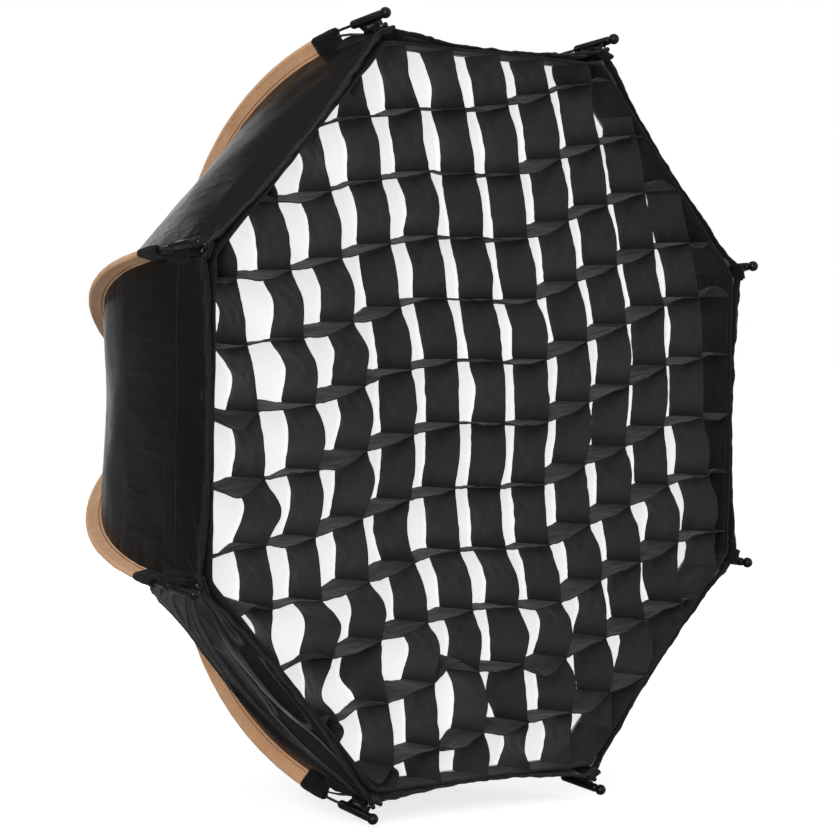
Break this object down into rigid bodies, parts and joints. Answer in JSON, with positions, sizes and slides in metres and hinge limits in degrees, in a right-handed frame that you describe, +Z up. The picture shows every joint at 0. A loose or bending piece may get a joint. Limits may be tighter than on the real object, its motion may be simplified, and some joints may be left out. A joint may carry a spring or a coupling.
{
  "type": "folding octagonal softbox with honeycomb grid",
  "caption": "Folding octagonal softbox with a fabric honeycomb grid on its front, a white diffuser, sprung ribs on hinges and a turning bayonet mount.",
  "frame": {"origin": "centre of the rear mount face, on the softbox's axis", "axes": "+Z up, the axis lies along Y, the open front faces -Y and the mount face +Y; two flats of the octagon are level"},
  "size_m": [0.63, 0.4053, 0.63],
  "materials": {
    "mount_metal": "black anodised aluminium, fine satin",
    "hub_plastic": "moulded black nylon, fine texture",
    "bearing_plastic": "natural acetal",
    "steel": "bright steel",
    "cap_plastic": "black moulded plastic, half gloss",
    "sleeve_fabric": "tan twill tape with a stitched edge",
    "webbing": "black ribbed webbing",
    "shell_fabric": "black nylon with a satin sheen, silver inside",
    "diffuser_fabric": "white translucent diffusion cloth",
    "grid_fabric": "matte black woven nylon"
  },
  "bodies": {
    "mount": {"mount_insert": "mount_metal", "glide_washer": "bearing_plastic", "retaining_ring": "mount_metal"},
    "hub": {"hub_ring": "hub_plastic", "hub_cover": "hub_plastic", "cover_screws": "steel", "hinge_pins": "steel", "rib_catches": "steel"},
    "rib_1": {"rod_1": "steel", "socket_1": "hub_plastic", "sleeve_1": "sleeve_fabric", "tip_cap_1": "cap_plastic"},
    "rib_2": {"rod_2": "steel", "socket_2": "hub_plastic", "sleeve_2": "sleeve_fabric", "tip_cap_2": "cap_plastic"},
    "rib_3": {"rod_3": "steel", "socket_3": "hub_plastic", "sleeve_3": "sleeve_fabric", "tip_cap_3": "cap_plastic"},
    "rib_4": {"rod_4": "steel", "socket_4": "hub_plastic", "sleeve_4": "sleeve_fabric", "tip_cap_4": "cap_plastic"},
    "rib_5": {"rod_5": "steel", "socket_5": "hub_plastic", "sleeve_5": "sleeve_fabric", "tip_cap_5": "cap_plastic"},
    "rib_6": {"rod_6": "steel", "socket_6": "hub_plastic", "sleeve_6": "sleeve_fabric", "tip_cap_6": "cap_plastic"},
    "rib_7": {"rod_7": "steel", "socket_7": "hub_plastic", "sleeve_7": "sleeve_fabric", "tip_cap_7": "cap_plastic"},
    "rib_8": {"rod_8": "steel", "socket_8": "hub_plastic", "sleeve_8": "sleeve_fabric", "tip_cap_8": "cap_plastic"},
    "panel_1_a": {"panel_1_a": "shell_fabric"},
    "panel_1_b": {"panel_1_b": "shell_fabric"},
    "panel_2_a": {"panel_2_a": "shell_fabric"},
    "panel_2_b": {"panel_2_b": "shell_fabric"},
    "panel_3_a": {"panel_3_a": "shell_fabric"},
    "panel_3_b": {"panel_3_b": "shell_fabric"},
    "panel_4_a": {"panel_4_a": "shell_fabric"},
    "panel_4_b": {"panel_4_b": "shell_fabric"},
    "panel_5_a": {"panel_5_a": "shell_fabric"},
    "panel_5_b": {"panel_5_b": "shell_fabric"},
    "panel_6_a": {"panel_6_a": "shell_fabric"},
    "panel_6_b": {"panel_6_b": "shell_fabric"},
    "panel_7_a": {"panel_7_a": "shell_fabric"},
    "panel_7_b": {"panel_7_b": "shell_fabric"},
    "panel_8_a": {"panel_8_a": "shell_fabric"},
    "panel_8_b": {"panel_8_b": "shell_fabric"},
    "diffuser": {"diffuser": "diffuser_fabric"},
    "grid": {"grid_vertical_strips": "grid_fabric", "grid_horizontal_strips": "grid_fabric", "grid_band": "grid_fabric"}
  },
  "joints": [
    {"name": "mount_spin", "type": "hinge", "parent": "mount", "child": "hub", "pos_m": [0, 0, 0], "axis": [0, -1, 0], "continuous": true},
    {"name": "fold", "type": "hinge", "parent": "hub", "child": "rib_1", "pos_m": [0.07006, -0.02052, 0.02902], "axis": [0.3827, 0, -0.9239], "range_deg": [0, 40]},
    {"name": "fold_2", "type": "hinge", "parent": "hub", "child": "rib_2", "pos_m": [0.02902, -0.02052, 0.07006], "axis": [0.9239, 0, -0.3827], "range_deg": [0, 40]},
    {"name": "fold_3", "type": "hinge", "parent": "hub", "child": "rib_3", "pos_m": [-0.02902, -0.02052, 0.07006], "axis": [0.9239, 0, 0.3827], "range_deg": [0, 40]},
    {"name": "fold_4", "type": "hinge", "parent": "hub", "child": "rib_4", "pos_m": [-0.07006, -0.02052, 0.02902], "axis": [0.3827, 0, 0.9239], "range_deg": [0, 40]},
    {"name": "fold_5", "type": "hinge", "parent": "hub", "child": "rib_5", "pos_m": [-0.07006, -0.02052, -0.02902], "axis": [-0.3827, 0, 0.9239], "range_deg": [0, 40]},
    {"name": "fold_6", "type": "hinge", "parent": "hub", "child": "rib_6", "pos_m": [-0.02902, -0.02052, -0.07006], "axis": [-0.9239, 0, 0.3827], "range_deg": [0, 40]},
    {"name": "fold_7", "type": "hinge", "parent": "hub", "child": "rib_7", "pos_m": [0.02902, -0.02052, -0.07006], "axis": [-0.9239, 0, -0.3827], "range_deg": [0, 40]},
    {"name": "fold_8", "type": "hinge", "parent": "hub", "child": "rib_8", "pos_m": [0.07006, -0.02052, -0.02902], "axis": [-0.3827, 0, -0.9239], "range_deg": [0, 40]},
    {"name": "pleat_1_a", "type": "hinge", "parent": "rib_1", "child": "panel_1_a", "pos_m": [0.08356, -0.03711, 0.03461], "axis": [-0.3523, 0.9244, -0.1459], "range_deg": [0, 57.71], "deforming": ["panel_1_a"]},
    {"name": "pleat_1_b", "type": "hinge", "parent": "rib_2", "child": "panel_1_b", "pos_m": [0.03461, -0.03711, 0.08356], "axis": [0.1459, -0.9244, 0.3523], "range_deg": [0, 57.71], "deforming": ["panel_1_b"]},
    {"name": "pleat_2_a", "type": "hinge", "parent": "rib_2", "child": "panel_2_a", "pos_m": [0.03461, -0.03711, 0.08356], "axis": [-0.1459, 0.9244, -0.3523], "range_deg": [0, 57.71], "deforming": ["panel_2_a"]},
    {"name": "pleat_2_b", "type": "hinge", "parent": "rib_3", "child": "panel_2_b", "pos_m": [-0.03461, -0.03711, 0.08356], "axis": [-0.1459, -0.9244, 0.3523], "range_deg": [0, 57.71], "deforming": ["panel_2_b"]},
    {"name": "pleat_3_a", "type": "hinge", "parent": "rib_3", "child": "panel_3_a", "pos_m": [-0.03461, -0.03711, 0.08356], "axis": [0.1459, 0.9244, -0.3523], "range_deg": [0, 57.71], "deforming": ["panel_3_a"]},
    {"name": "pleat_3_b", "type": "hinge", "parent": "rib_4", "child": "panel_3_b", "pos_m": [-0.08356, -0.03711, 0.03461], "axis": [-0.3523, -0.9244, 0.1459], "range_deg": [0, 57.71], "deforming": ["panel_3_b"]},
    {"name": "pleat_4_a", "type": "hinge", "parent": "rib_4", "child": "panel_4_a", "pos_m": [-0.08356, -0.03711, 0.03461], "axis": [0.3523, 0.9244, -0.1459], "range_deg": [0, 57.71], "deforming": ["panel_4_a"]},
    {"name": "pleat_4_b", "type": "hinge", "parent": "rib_5", "child": "panel_4_b", "pos_m": [-0.08356, -0.03711, -0.03461], "axis": [-0.3523, -0.9244, -0.1459], "range_deg": [0, 57.71], "deforming": ["panel_4_b"]},
    {"name": "pleat_5_a", "type": "hinge", "parent": "rib_5", "child": "panel_5_a", "pos_m": [-0.08356, -0.03711, -0.03461], "axis": [0.3523, 0.9244, 0.1459], "range_deg": [0, 57.71], "deforming": ["panel_5_a"]},
    {"name": "pleat_5_b", "type": "hinge", "parent": "rib_6", "child": "panel_5_b", "pos_m": [-0.03461, -0.03711, -0.08356], "axis": [-0.1459, -0.9244, -0.3523], "range_deg": [0, 57.71], "deforming": ["panel_5_b"]},
    {"name": "pleat_6_a", "type": "hinge", "parent": "rib_6", "child": "panel_6_a", "pos_m": [-0.03461, -0.03711, -0.08356], "axis": [0.1459, 0.9244, 0.3523], "range_deg": [0, 57.71], "deforming": ["panel_6_a"]},
    {"name": "pleat_6_b", "type": "hinge", "parent": "rib_7", "child": "panel_6_b", "pos_m": [0.03461, -0.03711, -0.08356], "axis": [0.1459, -0.9244, -0.3523], "range_deg": [0, 57.71], "deforming": ["panel_6_b"]},
    {"name": "pleat_7_a", "type": "hinge", "parent": "rib_7", "child": "panel_7_a", "pos_m": [0.03461, -0.03711, -0.08356], "axis": [-0.1459, 0.9244, 0.3523], "range_deg": [0, 57.71], "deforming": ["panel_7_a"]},
    {"name": "pleat_7_b", "type": "hinge", "parent": "rib_8", "child": "panel_7_b", "pos_m": [0.08356, -0.03711, -0.03461], "axis": [0.3523, -0.9244, -0.1459], "range_deg": [0, 57.71], "deforming": ["panel_7_b"]},
    {"name": "pleat_8_a", "type": "hinge", "parent": "rib_8", "child": "panel_8_a", "pos_m": [0.08356, -0.03711, -0.03461], "axis": [-0.3523, 0.9244, 0.1459], "range_deg": [0, 57.71], "deforming": ["panel_8_a"]},
    {"name": "pleat_8_b", "type": "hinge", "parent": "rib_1", "child": "panel_8_b", "pos_m": [0.08356, -0.03711, 0.03461], "axis": [0.3523, -0.9244, 0.1459], "range_deg": [0, 57.71], "deforming": ["panel_8_b"]},
    {"name": "front_off", "type": "slide", "parent": "hub", "child": "diffuser", "axis": [0, -1, 0], "range_m": [0, 0.3143], "deforming": ["diffuser"]},
    {"name": "grid_off", "type": "slide", "parent": "diffuser", "child": "grid", "axis": [0, -1, 0], "range_m": [0, 0.2], "deforming": ["grid_band", "grid_vertical_strips", "grid_horizontal_strips"]}
  ],
  "couplings": [
    {"joint": "fold_2", "follows": "fold", "ratio": 1},
    {"joint": "fold_3", "follows": "fold", "ratio": 1},
    {"joint": "fold_4", "follows": "fold", "ratio": 1},
    {"joint": "fold_5", "follows": "fold", "ratio": 1},
    {"joint": "fold_6", "follows": "fold", "ratio": 1},
    {"joint": "fold_7", "follows": "fold", "ratio": 1},
    {"joint": "fold_8", "follows": "fold", "ratio": 1},
    {"joint": "pleat_1_a", "follows": "fold", "ratio": 1.4424},
    {"joint": "pleat_1_b", "follows": "fold", "ratio": 1.4424},
    {"joint": "pleat_2_a", "follows": "fold", "ratio": 1.4424},
    {"joint": "pleat_2_b", "follows": "fold", "ratio": 1.4424},
    {"joint": "pleat_3_a", "follows": "fold", "ratio": 1.4424},
    {"joint": "pleat_3_b", "follows": "fold", "ratio": 1.4424},
    {"joint": "pleat_4_a", "follows": "fold", "ratio": 1.4424},
    {"joint": "pleat_4_b", "follows": "fold", "ratio": 1.4424},
    {"joint": "pleat_5_a", "follows": "fold", "ratio": 1.4424},
    {"joint": "pleat_5_b", "follows": "fold", "ratio": 1.4424},
    {"joint": "pleat_6_a", "follows": "fold", "ratio": 1.4424},
    {"joint": "pleat_6_b", "follows": "fold", "ratio": 1.4424},
    {"joint": "pleat_7_a", "follows": "fold", "ratio": 1.4424},
    {"joint": "pleat_7_b", "follows": "fold", "ratio": 1.4424},
    {"joint": "pleat_8_a", "follows": "fold", "ratio": 1.4424},
    {"joint": "pleat_8_b", "follows": "fold", "ratio": 1.4424},
    {"joint": "front_off", "follows": "fold", "m_per_rad": 0.45}
  ]
}
